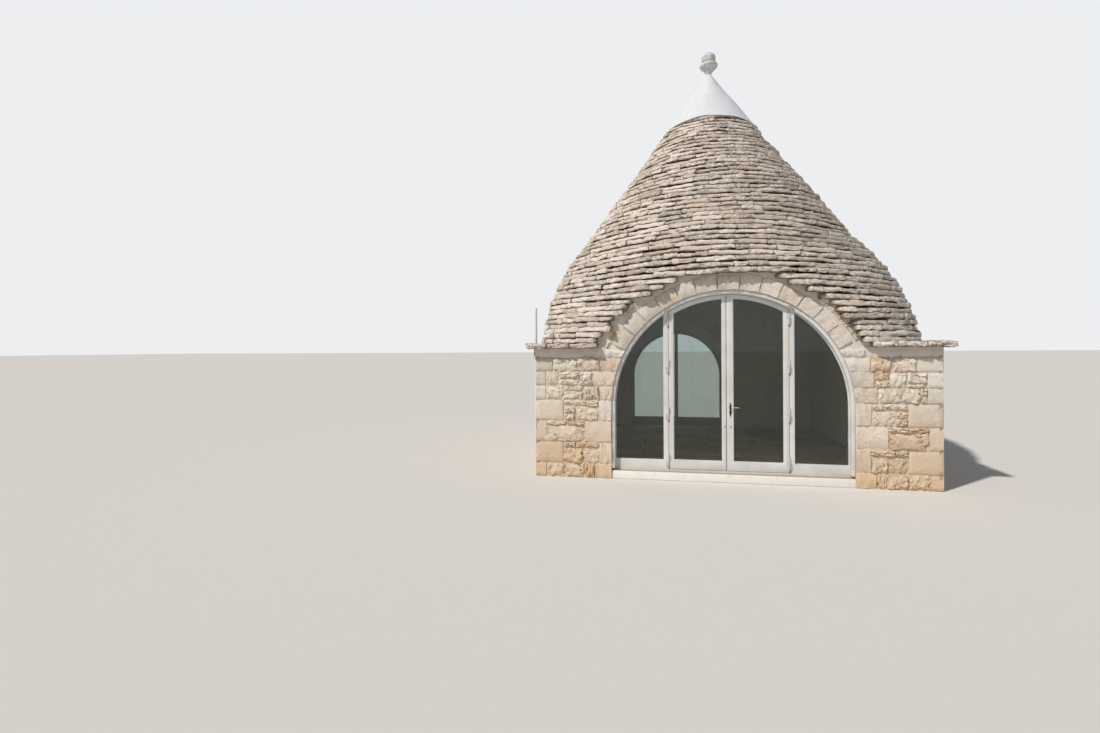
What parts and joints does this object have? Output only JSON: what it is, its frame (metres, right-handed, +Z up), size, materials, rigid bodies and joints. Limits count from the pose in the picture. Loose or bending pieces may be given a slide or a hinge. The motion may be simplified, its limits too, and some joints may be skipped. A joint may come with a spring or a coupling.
{
  "type": "trullo house",
  "caption": "Square stone house under a cone of corbelled slabs, with a wide arched glass front, a pair of hinged glazed doors and a white finial.",
  "frame": {"origin": "on the ground under the axis of the cone", "axes": "+Z up the axis of the cone, -Y out of the glazed front, +X to the right seen from the front"},
  "size_m": [6.28, 6.28, 8.115],
  "materials": {
    "wall_stone": "rough stone",
    "dressed_stone": "dressed stone",
    "roof_slab": "weathered stone",
    "whitewash": "matt lime wash",
    "weathered_wash": "matt lime wash",
    "floor_stone": "smooth stone",
    "painted_wood": "satin paint",
    "glass": "clear",
    "hinge_metal": "satin",
    "dark_metal": "satin",
    "white_pipe": "matt"
  },
  "bodies": {
    "house": {"corner_pipe": "white_pipe", "eave_front_slabs": "roof_slab", "eave_lamp": "dark_metal", "eave_rear_slabs": "roof_slab", "eave_side_slabs": "roof_slab", "finial": "weathered_wash", "floor_slab": "floor_stone", "front_arch_stones": "dressed_stone", "front_frame": "painted_wood", "front_jambs": "dressed_stone", "front_wall_head": "wall_stone", "front_wall_left": "wall_stone", "front_wall_right": "wall_stone", "left_hinge_pins": "hinge_metal", "left_side_glass": "glass", "left_wall": "wall_stone", "rear_arch_stones": "dressed_stone", "rear_frame": "painted_wood", "rear_glass": "glass", "rear_jambs": "dressed_stone", "rear_threshold": "whitewash", "rear_wall_head": "wall_stone", "rear_wall_left": "wall_stone", "rear_wall_right": "wall_stone", "right_hinge_pins": "hinge_metal", "right_side_glass": "glass", "right_wall": "wall_stone", "roof_cap": "whitewash", "roof_lower_front_left": "roof_slab", "roof_lower_front_right": "roof_slab", "roof_lower_rear_left": "roof_slab", "roof_lower_rear_right": "roof_slab", "roof_upper_front_left": "roof_slab", "roof_upper_front_right": "roof_slab", "roof_upper_rear_left": "roof_slab", "roof_upper_rear_right": "roof_slab", "threshold": "whitewash"},
    "left_leaf": {"left_leaf": "painted_wood", "left_leaf_glass": "glass", "left_hinge_knuckles": "hinge_metal"},
    "right_leaf": {"right_leaf": "painted_wood", "right_leaf_glass": "glass", "right_hinge_knuckles": "hinge_metal", "door_handle": "dark_metal"}
  },
  "joints": [
    {"name": "left_leaf_hinge", "type": "hinge", "parent": "house", "child": "left_leaf", "pos_m": [-0.864, -2.899, 0.295], "axis": [0, 0, -1], "range_deg": [0, 100]},
    {"name": "right_leaf_hinge", "type": "hinge", "parent": "house", "child": "right_leaf", "pos_m": [0.944, -2.899, 0.295], "axis": [0, 0, 1], "range_deg": [0, 100]}
  ]
}
